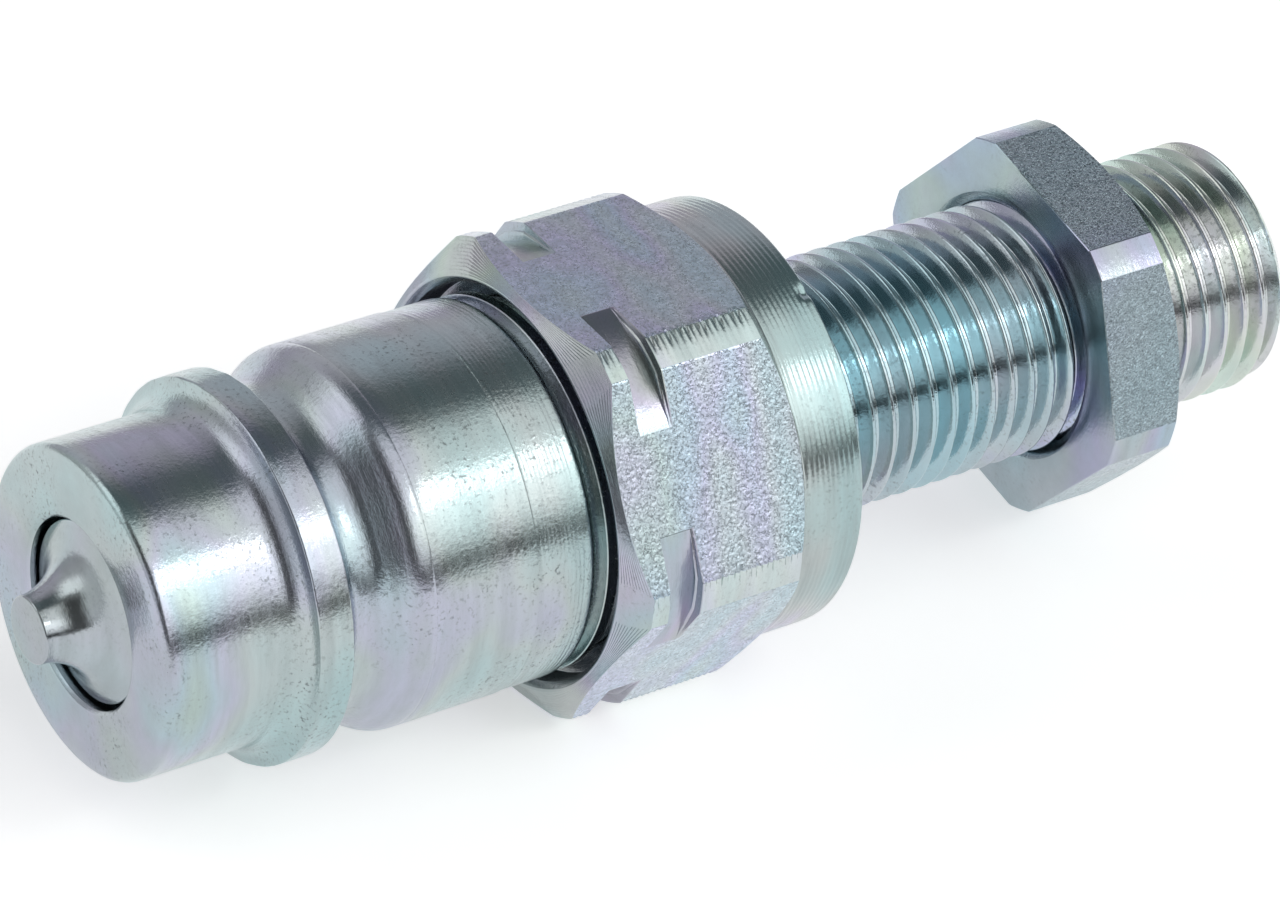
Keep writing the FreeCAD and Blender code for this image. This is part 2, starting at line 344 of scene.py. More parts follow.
class Rows:
    """Rings of a hexagonal piece: each row has an x, a radius and a finish for every column."""

    def __init__(self, theta):
        self.theta = theta
        self.x, self.r, self.zone = [], [], []

    def add(self, x, r, zone):
        for rows, value in ((self.x, x), (self.r, r), (self.zone, zone)):
            rows.append(np.broadcast_to(value, self.theta.shape).astype(float))

    def grids(self):
        x = np.array(self.x)
        return x, np.array(self.r), np.broadcast_to(self.theta, x.shape), np.array(self.zone)


def sector_angles(keys, turn_deg):
    """Columns for a hexagon: offsets from 0 to 30 degrees, laid to both sides of six corners."""
    k = np.array(keys)
    offsets = np.concatenate([-k[::-1][:-1], k[:-1]])
    a = (np.arange(6)[:, None] * 60 + turn_deg + 30 + offsets[None]).reshape(-1)
    return np.radians(np.unique(np.round(a, 6)))


def corner_offset(theta, turn_deg):
    """Angle from the nearest corner, zero at the corner and thirty degrees at a flat's middle."""
    a = np.degrees(theta) - turn_deg - 30
    return np.abs((a + 30) % 60 - 30)


def flat_edge(half_width, corner_r):
    """Angle from a corner at which a flat of the hexagon reaches the radius corner_r."""
    return 30 - math.degrees(math.acos(half_width / corner_r))


def flat_radius(half_width, offset):
    """Radius of a hexagon's flat: half its width over the cosine of the angle from its middle."""
    return half_width / np.cos(np.radians(30 - offset))


def helix_rows(phases, pitch, start, x0, x1, count, form):
    """Rows that follow a right-hand helix: x = start + pitch * (k + phase - turn - 1/4), held
    between x0 and x1, and radius = form(phase). The crest passes under the axis at start. The
    last column repeats the first one turn on, so the seam closes on itself."""
    theta = np.linspace(0, FULL_TURN, count + 1)
    turn = (theta / FULL_TURN)[None]
    first = int(math.floor((x0 - start) / pitch))
    last = int(math.ceil((x1 - start) / pitch)) + 2
    u = (np.arange(first, last)[:, None] + np.array(phases)[None]).reshape(-1, 1)
    x = np.clip(start + pitch * (u - turn - 0.25), x0, x1)
    phase = np.mod((x - start) / pitch + turn + 0.25, 1.0)
    return x, form(phase), np.broadcast_to(theta, x.shape)


HALF_PITCH = [0, 0.025, 0.05, 0.075, 0.10, 0.20, 0.30, 0.37, 0.39, 0.41, 0.435, 0.463, 0.5]
THREAD_PHASES = HALF_PITCH + [1 - p for p in HALF_PITCH[-2:0:-1]]


def thread_form(crest, root, pitch):
    """Thread section over one pitch: a straight flank from crest to root, with circles that
    touch the flank and the crest's level, or the flank and the root's level, at its ends."""
    a, b = THREAD_FLAT / 2, (pitch - THREAD_ROOT_FLAT) / 2
    lean = math.atan((b - a) / (crest - root))
    reach = math.tan((math.pi / 2 - lean) / 2)
    top, low = a - THREAD_CREST_ROUND * reach, b + THREAD_ROOT_ROUND * reach
    flank0 = a + THREAD_CREST_ROUND * reach * math.sin(lean)
    flank1 = b - THREAD_ROOT_ROUND * reach * math.sin(lean)

    def drop(radius, x, centre):
        return np.sqrt(np.maximum(radius ** 2 - (x - centre) ** 2, 0))

    def form(phase):
        x = pitch * (0.5 - np.abs(phase - 0.5))
        over = crest - THREAD_CREST_ROUND + drop(THREAD_CREST_ROUND, x, top)
        under = root + THREAD_ROOT_ROUND - drop(THREAD_ROOT_ROUND, x, low)
        flank = crest - (x - a) / math.tan(lean)
        where = [x < top, x < flank0, x < flank1, x < low]
        return np.select(where, [np.full_like(x, crest), over, flank, under], root)

    return form


# Finishes

def start_material(name):
    """A new material, its node tree and its shader."""
    m = bpy.data.materials.new(name)
    m.use_nodes = True
    t = m.node_tree
    bsdf = next(n for n in t.nodes if n.type == "BSDF_PRINCIPLED")
    return m, t, bsdf


def math_node(t, op, a, b=None):
    """One operation on numbers or nodes' outputs."""
    n = t.nodes.new("ShaderNodeMath")
    n.operation = op
    for k, v in enumerate((a, b)):
        if v is None:
            continue
        if hasattr(v, "links"):
            t.links.new(v, n.inputs[k])
        else:
            n.inputs[k].default_value = v
    return n.outputs[0]


def coordinates(t, output):
    """A position from the texture coordinates, and its three parts."""
    tc = t.nodes.new("ShaderNodeTexCoord")
    sep = t.nodes.new("ShaderNodeSeparateXYZ")
    t.links.new(tc.outputs[output], sep.inputs[0])
    return tc.outputs[output], sep.outputs


def noise(t, vector, scale, detail, rough, dims="3D"):
    """Noise of a position, with scale in cells a metre, or along a line in millimetres."""
    n = t.nodes.new("ShaderNodeTexNoise")
    n.noise_dimensions = dims
    t.links.new(vector, n.inputs["W" if dims == "1D" else "Vector"])
    n.inputs["Scale"].default_value = scale
    n.inputs["Detail"].default_value = detail
    n.inputs["Roughness"].default_value = rough
    return n.outputs[0]


def ramp(t, fac, stops):
    """Colour between stops (place, colour) at the place fac."""
    n = t.nodes.new("ShaderNodeValToRGB")
    t.links.new(fac, n.inputs[0])
    e = n.color_ramp.elements
    while len(e) < len(stops):
        e.new(0.5)
    for el, (pos, col) in zip(e, stops):
        el.position = pos
        el.color = (*col, 1.0)
    return n.outputs[0]


def map_range(t, value, lo, hi, to_lo, to_hi):
    """Value from lo to hi moved to the range from to_lo to to_hi, and held inside it."""
    n = t.nodes.new("ShaderNodeMapRange")
    t.links.new(value, n.inputs[0])
    for k, v in zip((1, 2, 3, 4), (lo, hi, to_lo, to_hi)):
        n.inputs[k].default_value = v
    return n.outputs[0]


def mix_colour(t, fac, a, b):
    """Colour a where fac is 0 and b where it is 1; each of the three may be a node's output."""
    n = t.nodes.new("ShaderNodeMix")
    n.data_type = "RGBA"
    for sock, v in ((n.inputs[0], fac), (n.inputs[6], a), (n.inputs[7], b)):
        if hasattr(v, "links"):
            t.links.new(v, sock)
        elif isinstance(v, (int, float)):
            sock.default_value = v
        else:
            sock.default_value = (*v, 1.0)
    return n.outputs[2]


def bump(t, height, strength, distance, normal=None):
    """Relief of the given height times distance, on top of an earlier normal."""
    n = t.nodes.new("ShaderNodeBump")
    t.links.new(height, n.inputs["Height"])
    n.inputs["Strength"].default_value = strength
    n.inputs["Distance"].default_value = distance
    if normal is not None:
        t.links.new(normal, n.inputs["Normal"])
    return n.outputs[0]


def scaled(t, vector, sx, sy, sz, shift):
    """Position times three factors, moved to another part of the noise by shift."""
    n = t.nodes.new("ShaderNodeMapping")
    t.links.new(vector, n.inputs[0])
    n.inputs["Scale"].default_value = (sx, sy, sz)
    n.inputs["Location"].default_value = (shift, shift * 0.7, -shift)
    return n.outputs[0]


def shade(colour, *factors):
    """The colour times one factor, or times a factor for each of its three parts."""
    return tuple(np.array(colour) * factors)


def filmed(t, base, tint, spot, x, seed):
    """Plate under thin films of colour, which follow the section and wander over it."""
    film = noise(t, spot, 62.0, 2.5, 0.5)
    section = math_node(t, "ADD", math_node(t, "MULTIPLY", x, 0.22), seed * 90)
    bands = noise(t, section, 1.0, 1, 0.5, "1D")
    thin = math_node(t, "ADD", math_node(t, "MULTIPLY", film, 0.75),
                     math_node(t, "MULTIPLY", bands, 0.25))
    colours = ramp(t, thin, [(place, shade(base, *rgb)) for place, *rgb in FILMS])
    return mix_colour(t, tint, base, colours)


def pitted_with_painted_light(t, plate, base, spot, scale, wrinkled):
    """Plate with painted shade in its pits and painted highlights in pale flecks, and its level,
    from 0 inside the pits to 1 between them. Pits lie where a noise is low or, on wrinkled metal,
    along short pieces of its middle contour."""
    field = noise(t, spot, scale, 3.0, 0.6)
    if wrinkled:
        depth, tone, glint = 0.76, 0.30, 0.10
        contour = math_node(t, "ABSOLUTE", math_node(t, "SUBTRACT", field, 0.5))
        broken = map_range(t, noise(t, spot, scale * 1.1, 1.0, 0.5), 0.42, 0.54, 1.0, 0.0)
        level = math_node(t, "MAXIMUM", map_range(t, contour, 0.008, 0.044, 0.0, 1.0), broken)
    else:
        depth, tone, glint = 0.55, 0.42, 0.50
        level = map_range(t, field, 0.41, 0.53, 0.0, 1.0)
    # Painted shade: the pits darken the plate by depth towards tone. Painted highlights: pale flecks up
    # to glint.
    painted_pit_shade = math_node(t, "MULTIPLY", math_node(t, "SUBTRACT", 1.0, level), depth)
    plate = mix_colour(t, painted_pit_shade, plate, shade(base, tone))
    painted_glint = map_range(t, noise(t, spot, scale * 1.7, 2.0, 0.5), 0.58, 0.66, 0.0, glint)
    return mix_colour(t, painted_glint, plate, tuple(np.minimum(shade(base, 1.7), 0.95))), level


def zinc(name, base, rough, lines, line_scale, tint, specks, seed, grain=1.0, peel=0.0,
         peel_scale=0.0, wrinkled=False):
    """Zinc plate with clear passivation: films of colour, stains, dark specks, fine grain and
    tool rings. Lines is the relief of the rings and line_scale their number a millimetre. Peel is
    the relief of the pits, peel_scale their fineness, and 0 leaves them out. The pits also carry
    painted shade and painted highlights in the colour."""
    m, t, bsdf = start_material(name)
    pos, (sx, sy, sz) = coordinates(t, "Object")
    x = math_node(t, "MULTIPLY", sx, 1 / MM)
    square = math_node(t, "ADD", math_node(t, "MULTIPLY", sy, sy), math_node(t, "MULTIPLY", sz, sz))
    r = math_node(t, "MULTIPLY", math_node(t, "SQRT", square), 1 / MM)
    spot = scaled(t, pos, 1, 1, 1, seed)
    # Turned plate has its stains and grain drawn out round the axis, pitted plate doesn't.
    drawn = 1.0 if peel > 0 else 0.14
    round_axis = scaled(t, pos, 1.0, drawn, drawn, seed)
    plate = filmed(t, base, tint, spot, x, seed)

    stain = noise(t, round_axis, 1500.0 if peel > 0 else 900.0, 6.0, 0.7)
    plate = mix_colour(t, map_range(t, stain, 0.38, 0.72, 0.0, 0.45), plate, shade(base, 0.62))
    where = map_range(t, noise(t, spot, 160.0, 3.0, 0.6), 0.40, 0.66, 0.0, specks)
    speck = noise(t, spot, 3600.0, 3.0, 0.65)
    dots = math_node(t, "MULTIPLY", map_range(t, speck, 0.56, 0.66, 0.0, 1.0), where)
    plate = mix_colour(t, dots, plate, shade(base, 0.30))
    # Pits darken the colour as painted shade and pale flecks brighten it as painted highlights; their
    # level also sets the relief below.
    if peel > 0:
        plate, level = pitted_with_painted_light(t, plate, base, spot, peel_scale, wrinkled)
    t.links.new(plate, bsdf.inputs["Base Color"])
    bsdf.inputs["Metallic"].default_value = 1.0

    along = math_node(t, "ADD", x, math_node(t, "MULTIPLY", r, 1.37))
    rings = noise(t, along, line_scale, 5.0, 0.8, "1D")
    worn = math_node(t, "ADD", map_range(t, stain, 0.3, 0.75, rough - 0.05, rough + 0.10),
                     map_range(t, rings, 0.3, 0.7, -0.03, 0.04))
    worn = math_node(t, "ADD", worn, math_node(t, "MULTIPLY", dots, 0.2))
    t.links.new(worn, bsdf.inputs["Roughness"])

    normal = bump(t, rings, 1.0, lines * RING_RELIEF / line_scale)
    normal = bump(t, noise(t, round_axis, 5200.0, 4.0, 0.7), 1.0, GRAIN_RELIEF * grain, normal)
    normal = bump(t, speck, 1.0, SPECK_RELIEF * grain, normal)
    if peel > 0:
        v = t.nodes.new("ShaderNodeTexVoronoi")
        t.links.new(spot, v.inputs["Vector"])
        v.inputs["Scale"].default_value = peel_scale
        cells = map_range(t, v.outputs[0], 0.08, 0.62, 0.0, 0.5)
        pits = math_node(t, "ADD", cells, level)
        normal = bump(t, pits, 1.0, peel * PIT_RELIEF / peel_scale, normal)
    t.links.new(normal, bsdf.inputs["Normal"])
    return m


def plain_finish(name, colour, rough, metal, grain, dark):
    """Hidden pieces: fine grain in colour, roughness and relief."""
    m, t, bsdf = start_material(name)
    tc = t.nodes.new("ShaderNodeTexCoord")
    g = noise(t, tc.outputs["Object"], grain, 4.0, 0.6)
    t.links.new(mix_colour(t, map_range(t, g, 0.35, 0.7, 0.0, 1.0), colour, dark),
                bsdf.inputs["Base Color"])
    t.links.new(map_range(t, g, 0.3, 0.7, rough - 0.06, rough + 0.08), bsdf.inputs["Roughness"])
    bsdf.inputs["Metallic"].default_value = metal
    t.links.new(bump(t, g, 0.3, PLAIN_RELIEF), bsdf.inputs["Normal"])
    return m


# Settings

class CouplingBodySettings(PropertyGroup):
    plate_colour: FloatVectorProperty(
        name="Plate colour", description="Colour of the zinc plate", subtype="COLOR",
        size=3, min=0, max=1, default=(0.475, 0.515, 0.52))
    roughness: FloatProperty(
        name="Roughness", description="Roughness of the turned surfaces", default=0.17, min=0.02, max=1)
    film: FloatProperty(
        name="Film colour", description="Strength of the passivation colours", default=0.9, min=0, max=1)
    columns: IntProperty(
        name="Columns", description="Faces round the nose body", default=224, min=48, max=400)


class CouplingThreadSettings(PropertyGroup):
    pitch: FloatProperty(
        name="Pitch", description="Distance from crest to crest", subtype="DISTANCE",
        unit="LENGTH", default=0.0015, min=0.0005, max=0.004)
    crest: FloatProperty(
        name="Crest radius", description="Radius over the thread's crests", subtype="DISTANCE",
        unit="LENGTH", default=0.00798, min=0.002, max=0.05)
    root: FloatProperty(
        name="Root radius", description="Radius at the thread's root", subtype="DISTANCE",
        unit="LENGTH", default=0.00706, min=0.002, max=0.05)


class CouplingStageSettings(PropertyGroup):
    azimuth: FloatProperty(
        name="Azimuth", description="Camera's turn about the vertical", subtype="ANGLE",
        default=math.radians(-37.900))
    elevation: FloatProperty(
        name="Elevation", description="Camera's height angle", subtype="ANGLE",
        default=math.radians(35.774))
    roll: FloatProperty(
        name="Roll", description="Camera's turn about its view line", subtype="ANGLE",
        default=math.radians(7.058))
    lens: FloatProperty(
        name="Lens", description="Focal length on a 36 mm sensor", default=210.45, min=20, max=400)
    key: FloatProperty(
        name="Key lamp", description="Power of the key lamp", default=0.5, min=0, max=50)
    floor_glow: FloatProperty(
        name="Floor glow", description="White of the floor where it is seen or mirrored",
        default=0.42, min=0, max=1)


def ship(obj, body, slot, *nodes):
    """The piece rides on a body and stands for the named solids, which are hidden; the slot argument is
    not used.
    """
    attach(obj, body)
    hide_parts(*nodes)


def finish_values():
    """Plate colour, roughness and film strength from the settings."""
    s = bpy.context.scene.coupling_body
    return tuple(s.plate_colour), s.roughness, s.film


# Pieces

class COUPLING_OT_nose(Operator):
    """Nose with flange, locking groove and barrel"""
    bl_idname = "coupling.nose"
    bl_label = "Nose body"

    def execute(self, context):
        base, rough, film = finish_values()
        mat = zinc("turned nose plate", shade(base, 0.95, 1.0, 1.01), rough, 0.8, 3.2,
                   tint=film * 0.8, seed=0.013, specks=0.75, grain=1.6)
        fillet_x, fillet_r = LAND_X0 - FILLET, NOSE_R + FILLET
        fillet_mid = FILLET * math.sqrt(0.5)
        band = tool_lines(BAND_X + 0.25, BARREL_END - 0.85, BAND_LINE_STEP, BAND_R, BAND_LINE_DEPTH)
        profile = traced([
            (FACE_X + 0.22, MOUTH_R), (FACE_X + 0.02, MOUTH_R + 0.18), (FACE_X, MOUTH_R + 0.24),
            (FACE_X, FACE_R), ("arc", (-0.406, 10.082), (0.0, NOSE_R)),
            (fillet_x, NOSE_R),
            ("arc", (fillet_x + fillet_mid, fillet_r - fillet_mid), (LAND_X0 - 0.01, LAND_R - 0.10)),
            ("arc", (LAND_X0 + 0.035, LAND_R - 0.03), (LAND_X0 + 0.15, LAND_R)),
            (LAND_X1 - 0.18, LAND_R),
            ("arc", (LAND_X1 - 0.05, LAND_R - 0.04), (LAND_X1, LAND_R - 0.15)),
            (LAND_X1 + 0.35, GROOVE_R + 0.85),
            ("arc", (LAND_X1 + 0.85, GROOVE_R + 0.22), (LAND_X1 + 1.75, GROOVE_R)),
            ("arc", (13.50, GROOVE_R + 0.15), (14.20, GROOVE_R + 0.60)),
            (15.20, BARREL_R - 0.55),
            ("arc", (15.85, BARREL_R - 0.13), (SHOULDER_X - 0.06, BARREL_R)),
            (SHOULDER_X, BARREL_R - 0.025), (SHOULDER_X + 0.06, BARREL_R),
            (BAND_X - 0.06, BARREL_R), (BAND_X + 0.02, BAND_R - 0.05), (BAND_X + 0.12, BAND_R),
            *band, (BARREL_END - 0.75, BAND_R),
            ("arc", (BARREL_END - 0.20, BAND_R - 0.20), (BARREL_END, RELIEF_R)),
            (RING_X0, RELIEF_R), (RING_X0, RING_R - 0.06), (RING_X0 + 0.06, RING_R),
            (RING_X1 - 0.06, RING_R), (RING_X1, RING_R - 0.06), (RING_X1, TAIL_R),
            (TAIL_X - 0.6, TAIL_R), (TAIL_X, TAIL_R - 0.6), (TAIL_X, POCKET_R),
            (CLIP_X1, POCKET_R), (CLIP_X1, CLIP_R), (CLIP_X0, CLIP_R), (CLIP_X0, POCKET_R),
            (POCKET_X, POCKET_R), (POCKET_X, CHAMBER_R), (CHAMBER_X, CHAMBER_R), (SEAT_X, MOUTH_R),
        ])
        columns = context.scene.coupling_body.columns
        x, r, theta = revolved(divided(profile, longest=0.9), columns)
        edges = np.exp(-((x - LAND_X1) / 0.35) ** 2) + np.exp(-((x - LAND_X0) / 0.3) ** 2)
        on_land = (r > RELIEF_R) & (x < SHOULDER_X)
        r = r + edges * on_land * (WEAR_RIPPLE * ripple(theta, seed=4) - WEAR_DEPTH)
        obj = tube_mesh("nose_shell", x, r, theta, [mat])
        ship(obj, "body", "zinc_turned", "nose_body")
        return {"FINISHED"}


class COUPLING_OT_poppet(Operator):
    """Valve head with flat tip and trumpet flare"""
    bl_idname = "coupling.poppet"
    bl_label = "Poppet head"

    def execute(self, context):
        mat = zinc("polished poppet plate", (0.42, 0.47, 0.48), 0.12, 0.3, 4.0, tint=0.3, seed=0.05,
                   specks=0.3)
        profile = traced([
            (TIP_X, 0.0), (TIP_X, TIP_R - 0.17),
            ("arc", (TIP_X + 0.05, TIP_R - 0.05), (TIP_X + 0.17, TIP_R)),
            ("arc", (TIP_X + 2.13, TIP_R + 0.63), (-0.22, 4.75)),
            (FLARE_X - 0.07, FLARE_R - 0.09),
            ("arc", (FLARE_X - 0.02, FLARE_R - 0.02), (FLARE_X + 0.06, FLARE_R)),
            (1.376, FLARE_R), (HEAD_X, 6.52), (HEAD_X, NECK_R), (NECK_X, NECK_R),
            (NECK_X, SPIGOT_R), (SPIGOT_X, SPIGOT_R), (SPIGOT_X, 0.0),
        ], parts=14)
        x, r, theta = revolved(divided(profile, longest=0.3, closed=False), count=160)
        obj = tube_mesh("poppet_shell", x, r, theta, [mat], closed_rows=False)
        ship(obj, "valve", "poppet_steel", "poppet_head")
        return {"FINISHED"}


class COUPLING_OT_hexagon(Operator):
    """Large hexagon with turned cone, corner notches and collar"""
    bl_idname = "coupling.hexagon"
    bl_label = "Hexagon and collar"

    def execute(self, context):
        base, rough, film = finish_values()
        materials = [
            zinc("turned collar plate", base, rough, 1.6, 4.2, tint=film, seed=0.03, specks=0.3),
            # The rolled flats carry pits with painted shade and painted highlights in their colour.
            zinc("rolled flat plate", shade(base, 1.22, 1.28, 1.40), rough + 0.10, 0.0, 3.0, peel=0.42,
                 peel_scale=4000.0, wrinkled=True, tint=film * 0.75, seed=0.31, specks=0.4),
            zinc("faced corner plate", shade(base, 1.22, 1.26, 1.25), rough, 1.6, 4.2,
                 tint=film * 0.5, seed=0.23, specks=0.3),
        ]
        turned, rolled, faced = range(3)
        edge = flat_edge(HEX_FLAT, HEX_CORNER)
        slot_end = flat_edge(HEX_FLAT, NOTCH_R)
        # Columns stand closer where the turned corner, the comb marks and the slot end.
        keys = [0, 0.9, 1.8, 2.6, 3.2, 3.6, 3.9, edge, 4.4, 4.65, 4.95, 5.3, 5.8, 6.6, 7.8, 9.2, 10.6,
                12.0, 13.4, 14.8, 16.0, slot_end - 0.15, slot_end, slot_end + 0.15, 18.6, 20.5, 22.5,
                24.5, 26.5, 28.3, 30.0]
        rows = Rows(sector_angles(keys, HEX_TURN))
        off = corner_offset(rows.theta, HEX_TURN)
        side = (np.degrees(rows.theta) % 60 + 30) % 60 - 30
        flat = flat_radius(HEX_FLAT, off)
        bar_r = np.minimum(flat, HEX_CORNER)
        bite = np.clip((side - 0.2) / 3.8, 0, 1)
        bar = np.where(off > edge - 0.02, rolled, faced)
        in_slot = NOTCH_R < bar_r
        slot_r = np.minimum(NOTCH_R, bar_r)
        slot_zone = np.where(in_slot, turned, bar)

        def skin(x):
            """Radius of the bar: the flat's, but no more than the turned corner's less the comb
            marks, whose depth is a raised cosine of x to the power 1.5, deeper on one side."""
            mark = 0.5 - 0.5 * np.cos(FULL_TURN * x / COMB_STEP + 0.8 * np.sin(x * 1.7))
            deep = COMB_DEPTH + bite * (COMB_BITE + 0.05 * np.sin(x * 5.3))
            return np.minimum(flat, HEX_CORNER - deep * mark ** 1.5)

        for x, r in rounded([(TAIL_X, SOCKET_R, 0), (SOCKET_X + 0.5, SOCKET_R, 0.1),
                             (SOCKET_X, COUNTERBORE_R, 0.15),
                             (HEX_FRONT + 0.42, COUNTERBORE_R, 0.10), (HEX_FRONT, 12.81, 0.12),
                             (HEX_FRONT, HEX_FRONT_R, 0)], steps=3):
            rows.add(x, r, turned)

        x_front = HEX_FRONT + (bar_r - HEX_FRONT_R) * CONE_SLOPE
        for k in range(1, FRONT_ROWS + 1):
            s = k / FRONT_ROWS
            ridge = RIDGE_HEIGHT * (k % 3 - 1) * (k < FRONT_ROWS - 1)
            rows.add(HEX_FRONT + (x_front - HEX_FRONT) * s + ridge * 0.8,
                     HEX_FRONT_R + (bar_r - HEX_FRONT_R) * s - ridge * 0.4,
                     turned if k < FRONT_ROWS else bar)
        for s in np.linspace(0.06, 1, 18):
            x = x_front + (NOTCH_X - x_front) * s
            rows.add(x, skin(x), bar)

        x = NOTCH_X + 0.003
        rows.add(x, np.minimum(skin(x), slot_r), slot_zone)
        # The slot's floor ends short of its width, and its rear wall rises by shares of its height.
        slot_x = NOTCH_X + NOTCH_W * 0.955
        for x in np.linspace(NOTCH_X + NOTCH_W * 0.08, slot_x, 13):
            here = skin(x)
            rows.add(x, np.where(in_slot, np.minimum(NOTCH_R, here), here), slot_zone)
        rear_wall = ((0.012, 0.30), (0.03, 0.42), (0.08, 0.50), (0.15, 0.55), (0.165, 0.80), (0.18, 1.0))
        for dx, share in rear_wall:
            here = skin(slot_x + dx)
            rows.add(slot_x + dx, np.where(in_slot, slot_r + (here - slot_r) * share, here), slot_zone)

        drop = (HEX_CORNER - COLLAR_R) / (STEP_X - HEX_BACK)
        x_back = HEX_BACK + (HEX_CORNER - bar_r) / drop
        x_bar = slot_x + 0.19
        for s in np.linspace(0.01, 1, 96):
            x = x_bar + (x_back - x_bar) * s
            rows.add(x, skin(x), bar)
        for s in (0.2, 0.4, 0.6, 0.8, 1.0):
            x = x_back + (STEP_X - x_back) * s
            rows.add(x, np.minimum(bar_r, HEX_CORNER - drop * (x - HEX_BACK)), turned)

        lines = [(x, r, 0) for x, r in
                 tool_lines(STEP_X + 0.42, COLLAR_X - 0.40, COLLAR_LINE_STEP, COLLAR_R,
                            COLLAR_LINE_DEPTH)]
        for x, r in rounded([(STEP_X + 0.02, COLLAR_R + 0.01, 0), (STEP_X + 0.16, COLLAR_R - 0.05, 0.1),
                             (STEP_X + 0.30, COLLAR_R, 0.1), *lines, (COLLAR_X, COLLAR_R, 0.34),
                             (COLLAR_X, 10.9, 0), (COLLAR_X, RECESS_R, 0.05),
                             (UNDERCUT_X, UNDERCUT_R, 0), (UNDERCUT_X - 0.05, 6.6, 0), (42.5, 6.6, 0),
                             (42.0, 7.5, 0), (40.3, 9.3, 0), (39.9, SOCKET_R, 0)], steps=4):
            rows.add(x, r, turned)
        x, r, theta, zone = rows.grids()
        nick = np.exp(-((x - NICK_X) / 0.42) ** 2 - ((np.degrees(theta) - NICK_DEG) / 1.5) ** 2)
        r = r - NICK_DEPTH * nick * (r > 13.0) * (x > STEP_X + 0.3)
        obj = tube_mesh("hexagon_shell", x, r, theta, materials, zone)
        ship(obj, "body", "zinc_hex", "hex_adapter")
        return {"FINISHED"}


class COUPLING_OT_thread(Operator):
    """Bulkhead thread, end chamfer, tube cone and flow bore"""
    bl_idname = "coupling.thread"
    bl_label = "Bulkhead thread"

    def execute(self, context):
        base, rough, film = finish_values()
        s = context.scene.coupling_thread
        pitch, crest, root = s.pitch / MM, s.crest / MM, s.root / MM
        cut = zinc("cut thread plate", shade(base, 1.04, 1.09, 1.17), rough - 0.07, 0.5, 6.0,
                   tint=film, seed=0.11, specks=0.6)
        rear = zinc("rear thread plate", shade(base, 1.33, 1.33, 1.22), rough - 0.05, 0.5, 6.0,
                    tint=film * 0.7, seed=0.27, specks=0.8)
        x, r, theta = helix_rows(THREAD_PHASES, pitch, COLLAR_X + THREAD_LEAD - pitch, UNDERCUT_X,
                                 REAR_X, count=120, form=thread_form(crest, root, pitch))
        # The thread rises out of the undercut at one end and sinks into the chamfer at the other.
        tail = crest - np.maximum(x - (REAR_X - REAR_CHAMFER), 0)
        lead = UNDERCUT_R + np.maximum(x - (COLLAR_X + THREAD_LEAD), 0)
        r = np.minimum(np.minimum(r, tail), lead)
        inner = divided(rounded([
            (REAR_X, crest - 0.78, 0), (REAR_X, CONE_R, 0.08), (TUBE_X1, TUBE_R, 0.1),
            (TUBE_X0, TUBE_R, 0.05), (TUBE_X0, FLOW_R, 0.15), (UNDERCUT_X, FLOW_R, 0),
            (UNDERCUT_X, root - 0.2, 0)], steps=3), longest=6.0, closed=False)
        cols = x.shape[1]
        x = np.vstack([x, np.repeat(inner[:, :1], cols, 1)])
        r = np.vstack([r, np.repeat(inner[:, 1:], cols, 1)])
        theta = np.broadcast_to(theta[0], x.shape)
        behind_nut = (x[:, :-1] > (NUT_X0 + NUT_X1) / 2).astype(int)
        obj = tube_mesh("thread_shell", x, r, theta, [cut, rear], behind_nut, wrap=False)
        ship(obj, "body", "zinc_hex", "hex_adapter")
        return {"FINISHED"}


